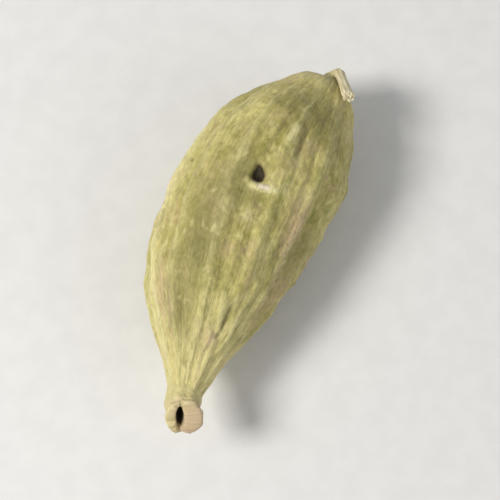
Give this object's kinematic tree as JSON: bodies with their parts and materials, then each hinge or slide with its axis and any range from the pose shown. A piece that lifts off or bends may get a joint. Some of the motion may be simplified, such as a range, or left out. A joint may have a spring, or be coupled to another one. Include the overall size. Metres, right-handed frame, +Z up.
{
  "type": "green cardamom pod",
  "caption": "Dried green cardamom pod: a ribbed, rounded triangular capsule that tapers to a neck with its dried flower tube, and keeps a bent stub of stalk.",
  "frame": {"origin": "on the resting surface, below the middle of the pod's box", "axes": "+X along the pod from the stalk to the calyx, +Z up, away from the flat spot it rests on"},
  "size_m": [0.0194, 0.0078, 0.0072],
  "materials": {
    "husk": "dry papery green skin, dull, with pale ribs",
    "calyx": "dry straw-brown flower tube, matt",
    "stalk": "dry straw-yellow stem, matt"
  },
  "bodies": {
    "root": {"husk": "husk", "calyx": "calyx", "stalk": "stalk"}
  },
  "joints": []
}
